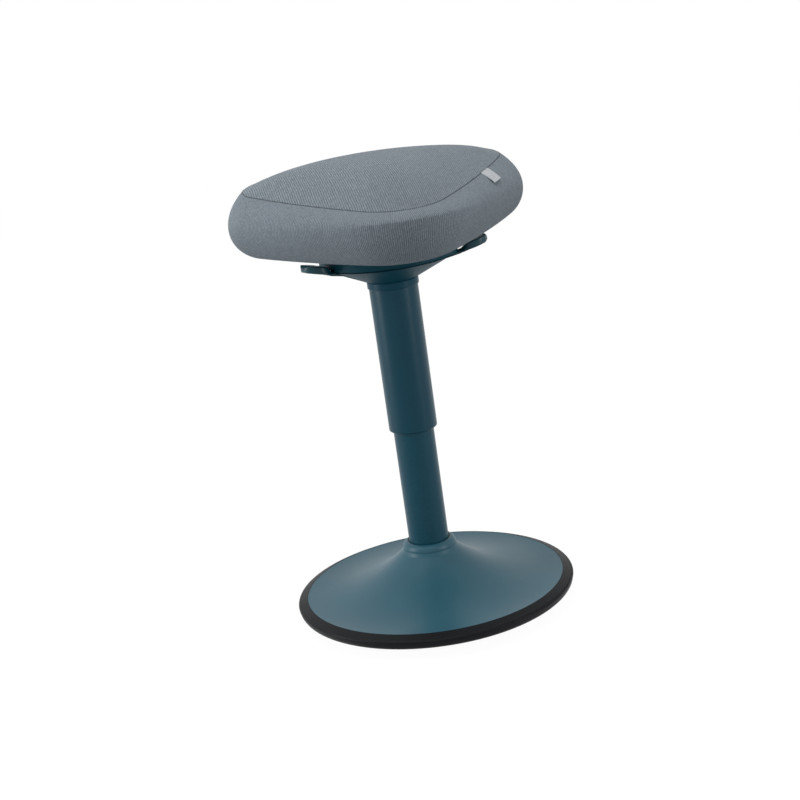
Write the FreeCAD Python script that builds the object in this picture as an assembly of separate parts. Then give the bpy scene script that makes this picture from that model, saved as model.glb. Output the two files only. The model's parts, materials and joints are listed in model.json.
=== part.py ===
import FreeCAD, Part
import math
import os

# A wobble stool: a weighted rocking base, a gas-sprung telescopic column and a
# three-cornered padded seat with a release paddle on each side.
# Millimetres. The origin is on the column's axis at floor level, +Z is up, and
# the seat's nose points towards -Y. The lift is drawn fully out.

V = FreeCAD.Vector
os.makedirs("parts", exist_ok=True)

# Clearances shared by many pieces
soft_gap = 0.3          # between pieces that must not touch
run_gap = 0.05          # radial clearance of a pin or shaft that turns or slides

# Rocking sole and base disc
land_r = 45.0           # flat middle of the sole, on which the stool stands
rock_r = 540.0          # radius of the rocking curve around that land
disc_r = 162.3          # visible edge of the painted disc
carrier_out = 0.7       # the moulded carrier's wall beyond the disc's edge
carrier_r = disc_r + carrier_out
pad_border = 13.0       # carrier left bare round the rubber sole pad
pad_r = carrier_r - pad_border
pad_t = 3.0
carrier_t = 4.0
deck_z = 20.0           # level of the carrier's hub, ribs and bosses
rib_radii = (62.0, 98.0, 128.0)
rib_t = 3.0
wall_t = 6.0            # carrier's outer wall
edge_h = 17.15          # disc's edge above the outer edge of the rocking curve
disc_z = rock_r - math.sqrt(rock_r ** 2 - (carrier_r - land_r) ** 2) + edge_h
disc_dish = 15.0        # how far the disc's face lies below a straight cone
shell_t = 2.0
shell_tuck = 4.0        # width of the disc's edge held inside the rim bumper
shell_tuck_drop = 3.0
neck_r = 36.0           # foot of the neck, where the disc's face begins
neck_z = 74.0
bead_r = 33.5           # widest part of the rolled lip
bead_drop = 9.0         # height of the lip above that
lip_z = 87.0
rim_out = 12.7          # how far the rubber bumper stands out past the disc's edge
rim_r = disc_r + rim_out
rim_lip_t = 0.3
rim_bevel_drop = 4.1     # fall of the bevel round the bumper's top
rim_shoulder = 2.7       # round between the bevel and the side
rim_low_round = 5.5
rim_low_rise = 1.35     # bumper's lower edge above the rocking curve's edge

# Ballast and the socket that carries the column
ballast_in_r = 52.0
ballast_step_r = 84.0
ballast_out_r = 132.0
ballast_play = 3.0      # between the ballast's steps and the disc above
ballast_screw_count = 4
ballast_screw_r = 68.0
ballast_screw = 3.0
flange_r = 48.0
flange_t = 5.0
flange_hole_r = 10.0
weld_leg = 3.0
socket_wall = 5.0
socket_h = 45.0
socket_bolt_count = 4
socket_bolt_r = 40.0
socket_bolt = 4.0
socket_bolt_len = 18.0

# Column tubes
lower_r = 25.0
lower_wall = 2.0
upper_r = 29.8
upper_wall = 1.8
upper_len = 206.6
edge_round = 1.6        # rounded lower edge of the upper tube
seal_play = 0.1
seal_h = 4.0

# Gas lift
stroke = 130.0          # travel of the lift
skirt_gap = 16.0        # left between the upper tube and the lip when lowered
rod_r = 5.0
rod_foot_r = 4.0
rod_foot_clear = 3.0    # rod's end above the socket flange
rod_foot_len = 3.0      # rod's end below its clip
clip_t = 1.5
clip_r = 8.0
clip_neck_r = 3.2
foot_plate_t = 5.0
race_t = 2.5
race_r = 14.0
ball_r = 2.5
ball_count = 10
ball_circle_r = 9.3
rod_margin = 14.0       # cylinder's end above the bearing when lowered
cyl_r = 14.0
cyl_wall = 1.6
cyl_taper = 0.8         # how much the cylinder narrows in the hub
cyl_proud = 9.0         # cylinder's top above the channel's floor underside
cyl_top_t = 4.0
gland_t = 20.0
piston_gap = 1.5
piston_t = 10.0
piston_seal_t = 4.0
piston_seal_depth = 2.0
piston_nut_t = 5.0
piston_nut_r = 6.5
piston_stud_r = 3.5
valve_t = 18.0
button_r = 4.0
button_proud = 7.0
button_in = 16.0
button_room = 3.5       # free depth under the button
bushing_len = 80.0
bushing_lip_t = 2.0
bushing_lip_in = 0.4    # how far the bushing's lip stays inside the tube's outside
hub_len = 38.0
hub_wall = 6.0
end_gap = 2.0           # left between hub and bushing when lowered

# Guide and spacer between the two tubes
guide_len = 18.0
guide_recess = 2.0
spacer_len = 20.0
spacer_drop = 12.0

# Seat mechanism
channel_half_x = 48.0
channel_half_y = 32.0
channel_t = 3.0
channel_h = 26.0
plate_play = 1.0        # between the plate and the housing round it
plate_t = 3.0
plate_bolt_r = 60.0
plate_bolt = 3.0
plate_bolt_count = 4
bolt_head_h = 4.0
pin_r = 3.0
pin_head_r = 5.0
pin_head_t = 2.0
pivot_x = 41.0
pivot_rise = 9.0        # pivot above the channel's floor
lever_hub_r = 6.5
lever_hub_half = 12.0
cap_r = 10.0
cap_t = 2.0
finger_w = 12.0         # inner end of a lever, over the cap
finger_t = 4.0
finger_reach = 3.0      # how near the axis a lever's inner end comes
stop_len = 30.0

# Paddles, seen along the lever: radius from the axis and height
sweep_deg = 21.0        # the levers are swept forward of the seat's cross line
tip_r = 119.5
tip_z = 456.8
tip_t = 9.0
arm_t = 4.5
arm_rise = 5.5          # climb of the arm from the housing to the paddle
paddle_rise = 4.5       # climb of the paddle from its inner end to its tip
arm_in_r = 62.0
arm_in_drop = 19.5      # arm's lowest level below the tip
paddle_in_r = 93.0
paddle_half_w = 17.0
arm_half_w = 8.0
slot_play = 1.6         # room around a lever in the housing
slot_lift = 3.0         # and above it, for its travel

# Cone housing and collar
collar_h = 9.0
collar_t = 1.5
cone_low_drop = 18.3    # foot of the cone below the channel's floor
cone_slope_deg = 25.5
cone_wall = 2.5
cone_r = 80.0           # where the cone ends under the flange
groove_h = 2.6
groove_in = 2.5
flange_out_r = 84.5
housing_screw = 2.0
housing_screw_r = 66.0
housing_screw_angles = (60.0, 120.0)
housing_boss_r = 5.5
housing_head_t = 3.0

# Seat outline at its widest: three corner rounds joined by long arcs
nose_y = -174.5
nose_round = 87.5
corner_x = 181.8
corner_y = 31.0
corner_round = 68.5
back_y = 142.0
side_round = 900.0      # Seat section
cover_t = 1.6
board_t = 12.0
board_inset = 46.0
side_low = 39.5         # widest level above the underside
side_low_in = 35.0      # how far the underside is drawn in
flat_band = 8.0         # level stretch where the underside begins
side_high = 35.5        # seam above the widest level
side_high_in = 23.7
seam_angle_deg = 50.0   # how far the side has turned over at the seam
crown_h = 23.7
crown_power = 2.9
seam_tilt_deg = 7.8     # the seam rises towards the back
wide_tilt_deg = -2.0
low_tilt_deg = 2.6      # the roll hangs lower at the nose
crown_tilt_deg = 0.0
centre_y = 5.0          # the crown's middle
hem_gap = 3.0           # cover's inner hem outside the seat plate

# Woven tag in the seam
tag_w = 22.0
tag_drop = 12.5         # how far down the side it reaches
tag_t = 1.2
tag_angle_deg = -23.0   # where it is sewn in, round the crown's middle from +X

# Nuts let into the seat board
tnut_r = 9.0
tnut_t = 1.5
tnut_barrel = 1.5

# Levels that follow from the sizes above
flange_z = deck_z
tube_z = flange_z + flange_t
foot_plate_z = tube_z + rod_foot_clear + rod_foot_len + clip_t + soft_gap
clip_z = foot_plate_z - soft_gap - clip_t
race_z = foot_plate_z + foot_plate_t
ball_z = race_z + race_t + ball_r
upper_race_z = ball_z + ball_r
rod_z = upper_race_z + race_t
cyl_z = rod_z + rod_margin + stroke
gland_z = cyl_z + 1.0
piston_z = gland_z + gland_t + piston_gap
skirt_z = lip_z + skirt_gap + stroke
channel_z = skirt_z + upper_len
hub_z = channel_z - hub_len
cyl_top_z = channel_z + cyl_proud
button_top_z = cyl_top_z + button_proud
lower_top_z = hub_z - stroke - end_gap - bushing_lip_t
plate_z = channel_z + channel_h
board_z = plate_z + plate_t
seat_z = board_z - cover_t
wide_z = seat_z + side_low
seam_z = wide_z + side_high
cone_z = channel_z - cone_low_drop
pivot_z = channel_z + channel_t + pivot_rise
finger_z = button_top_z + cap_t + soft_gap
finger_top_z = finger_z + finger_t
lower_in = lower_r - lower_wall
upper_in = upper_r - upper_wall
cyl_in = cyl_r - cyl_wall
cone_rise = math.tan(math.radians(cone_slope_deg))
collar_r = upper_r + collar_t
groove_r = cone_r - groove_in
housing_in = groove_r - cone_wall
plate_r = housing_in - plate_play
arm_z = tip_z - arm_in_drop


# Helpers

def turned(start, *steps):
    """Solid of revolution about Z. A step of two numbers is a straight run to
    (radius, height); a step of four is an arc by way of its first point."""
    first = V(start[0], 0, start[1])
    here = first
    edges = []
    for step in steps:
        there = V(step[-2], 0, step[-1])
        if len(step) == 2:
            edges.append(Part.LineSegment(here, there).toShape())
        else:
            edges.append(Part.Arc(here, V(step[0], 0, step[1]), there).toShape())
        here = there
    edges.append(Part.LineSegment(here, first).toShape())
    return Part.Face(Part.Wire(edges)).revolve(V(0, 0, 0), V(0, 0, 1), 360)


def disc(radius, z0, z1, x=0.0, y=0.0):
    return Part.makeCylinder(radius, z1 - z0, V(x, y, z0))


def ring(outer, inner, z0, z1):
    return disc(outer, z0, z1).cut(disc(inner, z0 - 1, z1 + 1))


def block(x0, x1, y0, y1, z0, z1):
    return Part.makeBox(x1 - x0, y1 - y0, z1 - z0, V(x0, y0, z0))


def turned_by(shape, degrees):
    copy = shape.copy()
    copy.rotate(V(0, 0, 0), V(0, 0, 1), degrees)
    return copy


def around(count, radius, start_deg=0.0):
    """Points evenly spaced on a circle about the axis."""
    points = []
    for i in range(count):
        a = math.radians(start_deg + 360.0 * i / count)
        points.append((radius * math.cos(a), radius * math.sin(a)))
    return points


def joined(solids):
    body = solids[0]
    for other in solids[1:]:
        body = body.fuse(other)
    return body.removeSplitter()


def save(node, *solids):
    """One file per node; a group of like pieces is a compound of solids."""
    shape = solids[0] if len(solids) == 1 else Part.makeCompound(list(solids))
    shape.exportStep("parts/" + node + ".step")
    box = shape.BoundBox
    print("%-20s %2d solid(s)  z %7.2f to %7.2f" % (node, len(shape.Solids), box.ZMin, box.ZMax))


# Base

def sole_z(r):
    """Height of the rocking curve above the floor at radius r."""
    return rock_r - math.sqrt(rock_r ** 2 - max(r - land_r, 0.0) ** 2)


def disc_face(offset):
    """Foot, middle and edge of the painted disc's face, lowered by offset."""
    mid_r = (neck_r + disc_r) / 2
    mid_z = (neck_z + disc_z) / 2 - disc_dish
    return (neck_r, neck_z - offset), (mid_r, mid_z - offset), (disc_r, disc_z - offset)


def sole_pad():
    mid = (land_r + pad_r) / 2
    return turned((0, 0), (land_r, 0), (mid, sole_z(mid), pad_r, sole_z(pad_r)),
                  (pad_r, sole_z(pad_r) + pad_t),
                  (mid, sole_z(mid) + pad_t, land_r, pad_t), (0, pad_t))


def base_carrier():
    recess_r = pad_r + soft_gap
    mid = (land_r + recess_r) / 2
    low = pad_t
    high = pad_t + carrier_t
    outer_mid = (recess_r + carrier_r) / 2
    wall_in = carrier_r - wall_t
    wall_top = disc_z - shell_t - shell_tuck_drop - soft_gap
    hub_r = ballast_in_r - soft_gap
    hub_mid = (hub_r + wall_in) / 2
    body = turned((0, low), (land_r, low), (mid, sole_z(mid) + low, recess_r, sole_z(recess_r) + low),
                  (recess_r, sole_z(recess_r)),
                  (outer_mid, sole_z(outer_mid), carrier_r, sole_z(carrier_r)),
                  (carrier_r, wall_top), (wall_in, wall_top), (wall_in, sole_z(wall_in) + high),
                  (hub_mid, sole_z(hub_mid) + high, hub_r, sole_z(hub_r) + high),
                  (hub_r, deck_z), (0, deck_z))
    for r in rib_radii:
        body = body.fuse(ring(r + rib_t / 2, r - rib_t / 2, sole_z(r) + low + carrier_t / 2, deck_z))
    for x, y in around(ballast_screw_count, ballast_screw_r, 45):
        foot = sole_z(ballast_screw_r) + low + carrier_t / 2
        body = body.fuse(disc(3 * ballast_screw, foot, deck_z, x, y))
        body = body.cut(disc(ballast_screw, foot, deck_z + 1, x, y))
    for x, y in around(socket_bolt_count, socket_bolt_r):
        body = body.cut(disc(socket_bolt, tube_z - socket_bolt_len, deck_z + 1, x, y))
    return body.removeSplitter()


def face_z(r):
    """Height of the painted disc's face at radius r, on the arc of disc_face."""
    (ax, az), (bx, bz), (cx, cz) = disc_face(0)
    det = 2 * (ax * (bz - cz) + bx * (cz - az) + cx * (az - bz))
    a2 = ax ** 2 + az ** 2
    b2 = bx ** 2 + bz ** 2
    c2 = cx ** 2 + cz ** 2
    ox = (a2 * (bz - cz) + b2 * (cz - az) + c2 * (az - bz)) / det
    oz = (a2 * (cx - bx) + b2 * (ax - cx) + c2 * (bx - ax)) / det
    return oz - math.sqrt((ax - ox) ** 2 + (az - oz) ** 2 - (r - ox) ** 2)


def ballast_top(r):
    """Top of the ballast's step that reaches out to radius r."""
    return face_z(r) - shell_t - ballast_play


def ballast_disc():
    low = ballast_top(ballast_out_r)
    high = ballast_top(ballast_step_r)
    body = turned((ballast_in_r, deck_z), (ballast_out_r, deck_z), (ballast_out_r, low),
                  (ballast_step_r, low), (ballast_step_r, high), (ballast_in_r, high))
    for x, y in around(ballast_screw_count, ballast_screw_r, 45):
        body = body.cut(disc(ballast_screw, deck_z - 1, high + 1, x, y))
    return body


def ballast_screws():
    foot = sole_z(ballast_screw_r) + pad_t + carrier_t / 2
    top = ballast_top(ballast_step_r)
    screws = []
    for x, y in around(ballast_screw_count, ballast_screw_r, 45):
        head = disc(1.7 * ballast_screw, top, top + 1.3 * ballast_screw, x, y)
        screws.append(disc(ballast_screw, foot, top, x, y).fuse(head).removeSplitter())
    return screws


def base_shell():
    """Spun steel disc, dished towards the rim, with a rolled lip at the neck."""
    lip_in = lower_r + lower_wall
    bead_z = lip_z - bead_drop
    foot, middle, edge = disc_face(0)
    tuck_r = disc_r + shell_tuck
    tuck_z = disc_z - shell_tuck_drop
    lip_bend = 0.7 * (bead_r - lip_in)
    t = shell_t
    return turned((lip_in, lip_z),
                  (lip_in + lip_bend, lip_z - 0.3 * bead_drop, bead_r, bead_z), foot,
                  middle + edge, (tuck_r, tuck_z), (tuck_r, tuck_z - t),
                  (edge[0], edge[1] - t),
                  (middle[0], middle[1] - t, foot[0] - 0.6 * t, foot[1] - t),
                  (bead_r - t, bead_z - 0.2 * t),
                  (lip_in + lip_bend - 0.7 * t, lip_z - 0.3 * bead_drop - 0.7 * t, lip_in, lip_z - t))


def rim_bumper():
    """Rubber ring that clips round the disc's edge and the carrier's wall."""
    tuck_r = disc_r + shell_tuck
    tuck_z = disc_z - shell_tuck_drop
    lip_r = disc_r + 0.2
    side_r = rim_r - 0.8
    low_in = carrier_r + 0.2
    low_z = sole_z(carrier_r)
    under_z = low_z + rim_low_rise
    bevel_z = disc_z + rim_lip_t - rim_bevel_drop
    return turned((lip_r, disc_z), (lip_r + 0.3, disc_z + rim_lip_t),
                  (rim_r - rim_shoulder, bevel_z),
                  (rim_r - 0.25 * rim_shoulder, bevel_z - 0.4 * rim_shoulder,
                   rim_r, bevel_z - 1.25 * rim_shoulder),
                  (side_r, under_z + rim_low_round),
                  (side_r - 0.4 * rim_low_round, under_z + 0.3 * rim_low_round,
                   side_r - rim_low_round, under_z),
                  (low_in, low_z), (low_in, tuck_z - shell_t), (tuck_r, tuck_z - shell_t), (tuck_r, tuck_z))


def neck_seal():
    top = lip_z - 0.4 * shell_t
    return ring(lower_r + lower_wall - seal_play, lower_r + seal_play, top - seal_h, top)


def column_socket():
    inner = lower_r
    outer = lower_r + socket_wall
    body = turned((flange_hole_r, flange_z), (flange_r, flange_z), (flange_r, tube_z),
                  (outer + weld_leg, tube_z), (outer, tube_z + weld_leg), (outer, tube_z + socket_h),
                  (inner, tube_z + socket_h), (inner, tube_z), (flange_hole_r, tube_z))
    for x, y in around(socket_bolt_count, socket_bolt_r):
        body = body.cut(disc(socket_bolt, flange_z - 1, tube_z + 1, x, y))
    return body


def socket_bolts():
    bolts = []
    for x, y in around(socket_bolt_count, socket_bolt_r):
        head = disc(1.6 * socket_bolt, tube_z, tube_z + 2 * socket_bolt, x, y)
        hex_key = disc(0.8 * socket_bolt, tube_z + socket_bolt, tube_z + 2 * socket_bolt + 1, x, y)
        shank = disc(socket_bolt, tube_z - socket_bolt_len, tube_z, x, y)
        bolts.append(shank.fuse(head).cut(hex_key).removeSplitter())
    return bolts


def lower_tube():
    return ring(lower_r, lower_in, tube_z, lower_top_z)


def foot_plate():
    return ring(lower_in, rod_foot_r + soft_gap, foot_plate_z, foot_plate_z + foot_plate_t)


def lower_race():
    return ring(race_r, rod_foot_r + soft_gap, race_z, race_z + race_t)


def guide_bushing():
    lip_r = lower_r - bushing_lip_in
    bore = cyl_r + run_gap
    return turned((bore, lower_top_z - bushing_len), (lower_in, lower_top_z - bushing_len),
                  (lower_in, lower_top_z), (lip_r, lower_top_z), (lip_r, lower_top_z + bushing_lip_t),
                  (bore, lower_top_z + bushing_lip_t))


# Gas rod and what turns with it

def rod():
    neck_top = clip_z + clip_t
    return turned((0, tube_z + rod_foot_clear), (rod_foot_r, tube_z + rod_foot_clear),
                  (rod_foot_r, clip_z), (clip_neck_r, clip_z), (clip_neck_r, neck_top),
                  (rod_foot_r, neck_top), (rod_foot_r, rod_z), (rod_r, rod_z), (rod_r, piston_z),
                  (piston_stud_r, piston_z), (piston_stud_r, piston_z + piston_t + piston_nut_t),
                  (0, piston_z + piston_t + piston_nut_t))


def rod_clip():
    """Snap clip with one open side, in the rod's groove under the foot plate."""
    washer = ring(clip_r, clip_neck_r, clip_z, clip_z + clip_t)
    return washer.cut(block(0, clip_r + 1, -0.8 * clip_neck_r, 0.8 * clip_neck_r, clip_z - 1, clip_z + clip_t + 1))


def upper_race():
    return ring(race_r, rod_foot_r, upper_race_z, upper_race_z + race_t)


def bearing_balls():
    return [Part.makeSphere(ball_r - run_gap, V(x, y, ball_z)) for x, y in around(ball_count, ball_circle_r)]


def piston():
    r = cyl_in - 2 * run_gap
    z0 = piston_z
    z1 = piston_z + piston_t
    seal_z = z0 + (piston_t - piston_seal_t) / 2
    return turned((piston_stud_r, z0), (r, z0), (r, seal_z), (r - piston_seal_depth, seal_z),
                  (r - piston_seal_depth, seal_z + piston_seal_t), (r, seal_z + piston_seal_t),
                  (r, z1), (piston_stud_r, z1))


def piston_seal():
    seal_z = piston_z + (piston_t - piston_seal_t) / 2
    return ring(cyl_in - run_gap, cyl_in - 2 * run_gap - piston_seal_depth, seal_z, seal_z + piston_seal_t)


def piston_nut():
    z0 = piston_z + piston_t
    corners = [V(x, y, z0) for x, y in around(6, piston_nut_r)]
    face = Part.Face(Part.makePolygon(corners + corners[:1]))
    return face.extrude(V(0, 0, piston_nut_t)).cut(disc(piston_stud_r, z0 - 1, z0 + piston_nut_t + 1))


# Gas cylinder, tubes and hub that rise with the seat

def gas_cylinder():
    tip = cyl_r - cyl_taper
    under = cyl_top_z - cyl_top_t
    valve_in = cyl_in - cyl_taper
    bore = button_r + run_gap
    return turned((cyl_in, cyl_z), (cyl_r, cyl_z), (cyl_r, hub_z), (tip, channel_z), (tip, cyl_top_z),
                  (bore, cyl_top_z), (bore, under), (valve_in, under), (valve_in, channel_z),
                  (cyl_in, hub_z))


def cylinder_gland():
    return ring(cyl_in, rod_r + run_gap, gland_z, gland_z + gland_t)


def valve_block():
    """Valve body under the cylinder's top; the release button slides in it."""
    top = cyl_top_z - cyl_top_t
    low = top - valve_t
    hole_z = button_top_z - button_proud - button_in - button_room
    r = cyl_in - cyl_taper - run_gap
    return disc(r, low, top).cut(disc(button_r + run_gap, hole_z, top + 1))


def taper_hub():
    tip = cyl_r - cyl_taper
    outer = cyl_r + hub_wall
    return turned((cyl_r, hub_z), (outer, hub_z), (outer, channel_z), (tip, channel_z))


def upper_tube():
    r = upper_r
    e = edge_round
    low = skirt_z
    bend = e * (1 - math.sqrt(0.5))
    return turned((upper_in, low), (r - e, low), (r - bend, low + bend, r, low + e),
                  (r, channel_z), (upper_in, channel_z))


def skirt_guide():
    low = skirt_z + guide_recess
    return ring(upper_in, lower_r + soft_gap, low, low + guide_len)


def tube_spacer():
    top = channel_z - spacer_drop
    return ring(upper_in, cyl_r + hub_wall, top - spacer_len, top)


def tube_collar():
    low = cone_z - collar_h
    e = 0.5 * collar_t
    return turned((upper_r, low), (collar_r - e, low), (collar_r, low + e), (collar_r, cone_z - e),
                  (collar_r - e, cone_z), (upper_r, cone_z))


# Seat mechanism

def drill_plate(body):
    for x, y in around(plate_bolt_count, plate_bolt_r, 45):
        body = body.cut(disc(plate_bolt, plate_z - 1, board_z + board_t + 1, x, y))
    for a in housing_screw_angles:
        x = housing_screw_r * math.cos(math.radians(a))
        y = housing_screw_r * math.sin(math.radians(a))
        body = body.cut(disc(housing_screw, plate_z - 1, board_z + board_t + 1, x, y))
    return body


def mech_channel():
    """Folded steel channel: the hub is welded under its floor, the plate on top."""
    hx = channel_half_x
    hy = channel_half_y
    body = block(-hx, hx, -hy, hy, channel_z, plate_z)
    body = body.cut(block(-hx - 1, hx + 1, -hy + channel_t, hy - channel_t, channel_z + channel_t, plate_z + 1))
    body = body.cut(disc(cyl_r - cyl_taper, channel_z - 1, channel_z + channel_t + 1))
    for side in (-1, 1):
        body = body.cut(pivot_bar(side, pin_r, -hy - 1, hy + 1))
    return body


def pivot_bar(side, radius, y0, y1):
    """Round bar along Y on a lever's pivot; side is 1 on the right, -1 on the left."""
    return Part.makeCylinder(radius, y1 - y0, V(side * pivot_x, y0, pivot_z), V(0, 1, 0))


def pivot_pin(side):
    half = channel_half_y
    body = pivot_bar(side, pin_r, -half - pin_head_t, half)
    for y in (-half - pin_head_t, half):
        body = body.fuse(pivot_bar(side, pin_head_r, y, y + pin_head_t))
    return body.removeSplitter()


def seat_plate():
    return drill_plate(disc(plate_r, plate_z, board_z))


def plate_bolts():
    bolts = []
    for x, y in around(plate_bolt_count, plate_bolt_r, 45):
        shank = disc(plate_bolt, plate_z, board_z + board_t + tnut_t / 2, x, y)
        head = disc(1.7 * plate_bolt, plate_z - bolt_head_h, plate_z, x, y)
        bolts.append(shank.fuse(head).removeSplitter())
    return bolts


def t_nuts():
    nuts = []
    top = board_z + board_t
    for x, y in around(plate_bolt_count, plate_bolt_r, 45):
        barrel = disc(plate_bolt + tnut_barrel, board_z + board_t / 3, top, x, y)
        nut = barrel.fuse(disc(tnut_r, top, top + tnut_t, x, y))
        nuts.append(nut.cut(disc(plate_bolt, board_z, top + tnut_t + 1, x, y)).removeSplitter())
    return nuts


def stop_pad():
    """Rubber pad under the plate, on which the levers' inner ends come to rest."""
    return block(-stop_len / 2, stop_len / 2, -finger_w / 2, finger_w / 2, finger_top_z + soft_gap, plate_z)


def release_button():
    return disc(button_r, button_top_z - button_proud - button_in, button_top_z)


def press_cap():
    return disc(cap_r, button_top_z, button_top_z + cap_t)


def side_strip(points, half_w):
    """Plate whose side view is the outline given as (radius, height) steps,
    as wide as 2 * half_w, standing along +X."""
    edges = []
    here = V(points[0][0], -half_w, points[0][1])
    first = here
    for step in points[1:]:
        there = V(step[-2], -half_w, step[-1])
        if len(step) == 2:
            edges.append(Part.LineSegment(here, there).toShape())
        else:
            edges.append(Part.Arc(here, V(step[0], -half_w, step[1]), there).toShape())
        here = there
    edges.append(Part.LineSegment(here, first).toShape())
    return Part.Face(Part.Wire(edges)).extrude(V(0, 2 * half_w, 0))


def paddle_plan(grow):
    """Plan of a lever's outer part: a narrow arm that widens into a round pad."""
    w = paddle_half_w + grow
    inner_w = 0.75 * paddle_half_w + grow
    z0 = channel_z - 30
    z1 = plate_z + 10
    arm = block(pivot_x, tip_r - paddle_half_w, -arm_half_w - grow, arm_half_w + grow, z0, z1)
    pad = disc(w, z0, z1, tip_r - paddle_half_w)
    return joined([arm, pad, disc(inner_w, z0, z1, paddle_in_r + 5)])


def lever_side_view():
    """Side view of a lever's outer part: down from the pivot and out along the cone."""
    half = tip_t / 2
    arm_end_r = paddle_in_r - 7
    in_z = tip_z - paddle_rise
    return [(pivot_x, pivot_z + 3), (channel_half_x + 3, pivot_z + 2), (arm_in_r + 4, arm_z + arm_t + 1),
            (arm_end_r, arm_z + arm_rise + arm_t), (paddle_in_r + 3, in_z + half),
            (tip_r - half, tip_z + half), (tip_r, tip_z, tip_r - half, tip_z - half),
            (paddle_in_r + 5, in_z - half), (arm_end_r, arm_z + arm_rise), (arm_in_r, arm_z),
            (arm_in_r - 4, channel_z + channel_t + 2), (pivot_x, pivot_z - 4)]


def lever(side):
    """One release lever: finger over the cap, hub on its pin, arm and paddle.
    Side is 1 on the right and -1 on the left."""
    outer = side_strip(lever_side_view(), paddle_half_w).common(paddle_plan(0))
    outer = turned_by(outer, -sweep_deg)
    hub = pivot_bar(1, lever_hub_r, -lever_hub_half, lever_hub_half)
    finger = block(finger_reach, pivot_x, -finger_w / 2, finger_w / 2, finger_z, finger_top_z)
    bore = pivot_bar(1, pin_r + run_gap, -channel_half_y, channel_half_y)
    body = joined([hub, outer, finger]).cut(bore)
    return body if side > 0 else body.mirror(V(0, 0, 0), V(1, 0, 0))


# Cone housing under the seat

def cone_housing():
    """Moulded funnel that hides the mechanism, with a window for each lever."""
    top = seat_z - soft_gap
    neck_in = upper_r + run_gap
    face_z = cone_z + (cone_r - collar_r) * cone_rise
    slant = cone_wall / math.cos(math.radians(cone_slope_deg))
    inner_r = neck_in + cone_wall
    inner_z = cone_z + slant + (inner_r - collar_r) * cone_rise
    body = turned((neck_in, cone_z), (collar_r, cone_z), (cone_r, face_z), (groove_r, face_z),
                  (groove_r, face_z + groove_h), (flange_out_r, face_z + groove_h),
                  (flange_out_r, top), (housing_in, top),
                  (housing_in, face_z + slant - (cone_r - housing_in) * cone_rise),
                  (inner_r, inner_z), (neck_in, inner_z))
    for x, y in housing_screw_places():
        low = cone_z + (housing_screw_r - collar_r) * cone_rise
        body = body.fuse(disc(housing_boss_r, low + slant / 2, plate_z - soft_gap, x, y))
        head_z = plate_z - soft_gap - 2 * housing_head_t
        body = body.cut(disc(2 * housing_screw + soft_gap, cone_z, head_z, x, y))
        body = body.cut(disc(housing_screw, cone_z, plate_z, x, y))
    slot_in = arm_in_r - 8
    slot_top = arm_z + arm_rise + arm_t + slot_lift
    slot = side_strip([(slot_in, cone_z), (tip_r, cone_z), (tip_r, slot_top), (slot_in, slot_top)],
                      paddle_half_w + slot_play).common(paddle_plan(slot_play))
    slot = turned_by(slot, -sweep_deg)
    return body.cut(slot).cut(slot.mirror(V(0, 0, 0), V(1, 0, 0))).removeSplitter()


def housing_screw_places():
    places = []
    for a in housing_screw_angles:
        t = math.radians(a)
        places.append((housing_screw_r * math.cos(t), housing_screw_r * math.sin(t)))
    return places


def housing_screws():
    screws = []
    head_z = plate_z - soft_gap - 2 * housing_head_t
    for x, y in housing_screw_places():
        head = disc(2 * housing_screw, head_z - housing_head_t, head_z, x, y)
        screws.append(disc(housing_screw, head_z, board_z, x, y).fuse(head).removeSplitter())
    return screws


# Seat

def corner_centres():
    """Centre and radius of each corner round: nose, right, left."""
    return [(0.0, nose_y + nose_round, nose_round),
            (corner_x - corner_round, corner_y, corner_round),
            (corner_round - corner_x, corner_y, corner_round)]


def back_round():
    """Radius of the back's arc, which touches both rear rounds and the back's middle."""
    half = corner_x - corner_round
    drop = back_y - corner_y
    return (half ** 2 + drop ** 2 - corner_round ** 2) / (2 * (drop - corner_round))


def arc_centre(a, b, radius):
    """Centre of the long arc that encloses and touches corner rounds a and b."""
    ax, ay, ar = a
    bx, by, br = b
    d = math.hypot(bx - ax, by - ay)
    ra = radius - ar
    rb = radius - br
    along = (ra ** 2 - rb ** 2 + d ** 2) / (2 * d)
    across = math.sqrt(ra ** 2 - along ** 2)
    ux = (bx - ax) / d
    uy = (by - ay) / d
    return ax + ux * along - uy * across, ay + uy * along + ux * across


def seat_outline(inset, shrink, height, tilt_deg):
    """Wire of six arcs, drawn in by inset, then shrunk about the crown's middle,
    then raised to height and tilted about the column's cross line."""
    nose, right, left = corner_centres()
    loop = [(nose, right, side_round), (right, left, back_round()), (left, nose, side_round)]
    touches = []
    for a, b, radius in loop:
        cx, cy = arc_centre(a, b, radius)
        pair = []
        for px, py, pr in (a, b):
            d = math.hypot(px - cx, py - cy)
            pair.append((cx + (px - cx) / d * (radius - inset), cy + (py - cy) / d * (radius - inset)))
        mx = (pair[0][0] + pair[1][0]) / 2 - cx
        my = (pair[0][1] + pair[1][1]) / 2 - cy
        d = math.hypot(mx, my)
        middle = (cx + mx / d * (radius - inset), cy + my / d * (radius - inset))
        touches.append((pair[0], middle, pair[1]))
    rise = math.tan(math.radians(tilt_deg))

    def place(x, y):
        y = centre_y + (y - centre_y) * shrink
        return V(x * shrink, y, height + y * rise)

    edges = []
    for i, corner in enumerate((nose, right, left)):
        before = touches[i - 1][2]
        start, middle, end = touches[i]
        cx, cy, radius = corner
        bx = (before[0] + start[0]) / 2 - cx
        by = (before[1] + start[1]) / 2 - cy
        d = math.hypot(bx, by)
        reach = radius - inset
        tip = (cx + bx / d * reach, cy + by / d * reach)
        edges.append(Part.Arc(place(*before), place(*tip), place(*start)).toShape())
        edges.append(Part.Arc(place(*start), place(*middle), place(*end)).toShape())
    return Part.Wire(edges)


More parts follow.
